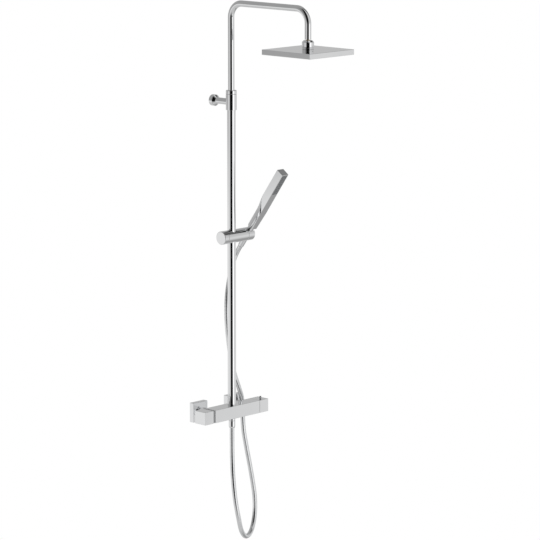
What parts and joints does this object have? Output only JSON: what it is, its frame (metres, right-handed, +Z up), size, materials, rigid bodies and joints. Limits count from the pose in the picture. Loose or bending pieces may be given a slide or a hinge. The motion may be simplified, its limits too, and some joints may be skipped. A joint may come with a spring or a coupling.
{
  "type": "rainfall shower column",
  "caption": "Wall-mounted shower column: thermostatic bar mixer, telescopic riser with bent arm and square rain head, slider with stick hand shower and looped hose.",
  "frame": {"origin": "on the wall plane, midway between the two water inlets and at their height", "axes": "+Z up along the riser, +Y into the wall, +X along the wall to the right as seen from the room"},
  "size_m": [0.2922, 0.496, 1.7047],
  "materials": {
    "chrome": "polished chrome plate on brass",
    "brass": "machined, unplated",
    "grey_plastic": "satin grey",
    "white_plastic": "satin white",
    "rubber": "matt grey silicone",
    "steel": "plain stainless steel",
    "hose_metal": "chromed double-lock spiral hose"
  },
  "bodies": {
    "wall_frame": {"escutcheon_left": "chrome", "escutcheon_right": "chrome", "wall_union_left": "brass", "wall_union_right": "brass", "union_nut_left": "chrome", "union_nut_right": "chrome", "union_washer_left": "rubber", "union_washer_right": "rubber", "inlet_filter_left": "steel", "inlet_filter_right": "steel", "valve_body": "chrome", "flow_cartridge": "brass", "flow_stop_ring": "grey_plastic", "thermostatic_cartridge": "brass", "hose_outlet_nipple": "chrome", "hose_outlet_washer": "rubber", "hose_nut": "chrome", "hose": "hose_metal", "riser_seal_ring": "rubber", "lower_riser_tube": "chrome", "riser_guide_bush": "white_plastic", "riser_collar": "chrome", "collar_clamp_ring": "chrome", "wall_rosette": "chrome", "wall_stud": "steel", "bracket_neck": "chrome", "bracket_grub_screw": "steel"},
    "flow_control": {"flow_knob": "chrome", "flow_spindle": "brass"},
    "temperature_control": {"temperature_knob": "chrome", "temperature_spindle": "brass", "stop_button_spring": "steel"},
    "stop_button": {"temperature_stop_button": "grey_plastic"},
    "arm_lift": {"upper_tube_end_bush": "white_plastic"},
    "arm": {"upper_arm_tube": "chrome", "ball_stem": "brass"},
    "head_turn": {"head_friction_ring": "rubber"},
    "rain_head": {"swivel_nut": "chrome", "head_casing": "chrome", "head_nozzle_plate": "rubber", "head_plate_screw_1": "steel", "head_plate_screw_2": "steel", "head_plate_screw_3": "steel", "head_plate_screw_4": "steel"},
    "slider_liner": {"slider_bush": "white_plastic"},
    "slider": {"slider_body": "chrome", "brake_shoe": "rubber", "holder_pivot_bolt": "steel"},
    "clamp": {"clamp_knob": "chrome", "clamp_screw": "steel"},
    "holder": {"holder_swivel": "chrome"},
    "handset": {"handset_body": "chrome", "handset_nozzle_plate": "rubber", "cone_nut": "chrome", "handset_tail_nipple": "brass", "handset_tail_washer": "rubber"}
  },
  "joints": [
    {"name": "flow_turn", "type": "hinge", "parent": "wall_frame", "child": "flow_control", "pos_m": [-0.1215, -0.08, 0], "axis": [1, 0, 0], "range_deg": [-90, 90]},
    {"name": "temperature_turn", "type": "hinge", "parent": "wall_frame", "child": "temperature_control", "pos_m": [0.1205, -0.08, 0], "axis": [1, 0, 0], "range_deg": [-120, 120]},
    {"name": "stop_press", "type": "slide", "parent": "temperature_control", "child": "stop_button", "axis": [0, 0, -1], "range_m": [0, 0.0024], "stiffness_N_per_m": 500, "deforming": ["stop_button_spring"]},
    {"name": "arm_slide", "type": "slide", "parent": "wall_frame", "child": "arm_lift", "axis": [0, 0, 1], "range_m": [-0.12, 0.15]},
    {"name": "arm_swing", "type": "hinge", "parent": "arm_lift", "child": "arm", "pos_m": [0, -0.08, 1], "axis": [0, 0, 1], "range_deg": [-45, 45]},
    {"name": "head_turn", "type": "hinge", "parent": "arm", "child": "head_turn", "pos_m": [0, -0.399, 1.16], "axis": [0, 0, 1], "range_deg": [-90, 90]},
    {"name": "head_tilt", "type": "hinge", "parent": "head_turn", "child": "rain_head", "pos_m": [0, -0.399, 1.16], "axis": [1, 0, 0], "range_deg": [-8, 8]},
    {"name": "slider_slide", "type": "slide", "parent": "wall_frame", "child": "slider_liner", "axis": [0, 0, 1], "range_m": [-0.4, 0.3]},
    {"name": "slider_swing", "type": "hinge", "parent": "slider_liner", "child": "slider", "pos_m": [0, -0.08, 0.5495], "axis": [0, 0, 1], "range_deg": [-90, 0]},
    {"name": "clamp_turn", "type": "hinge", "parent": "slider", "child": "clamp", "pos_m": [-0.0385, -0.08, 0.5495], "axis": [1, 0, 0], "range_deg": [0, 90]},
    {"name": "holder_tilt", "type": "hinge", "parent": "slider", "child": "holder", "pos_m": [0.07025, -0.08, 0.5495], "axis": [1, 0, 0], "range_deg": [-36, 34]},
    {"name": "handset_lift", "type": "slide", "parent": "holder", "child": "handset", "axis": [0, -0.5878, 0.809], "range_m": [0, 0.075]}
  ]
}
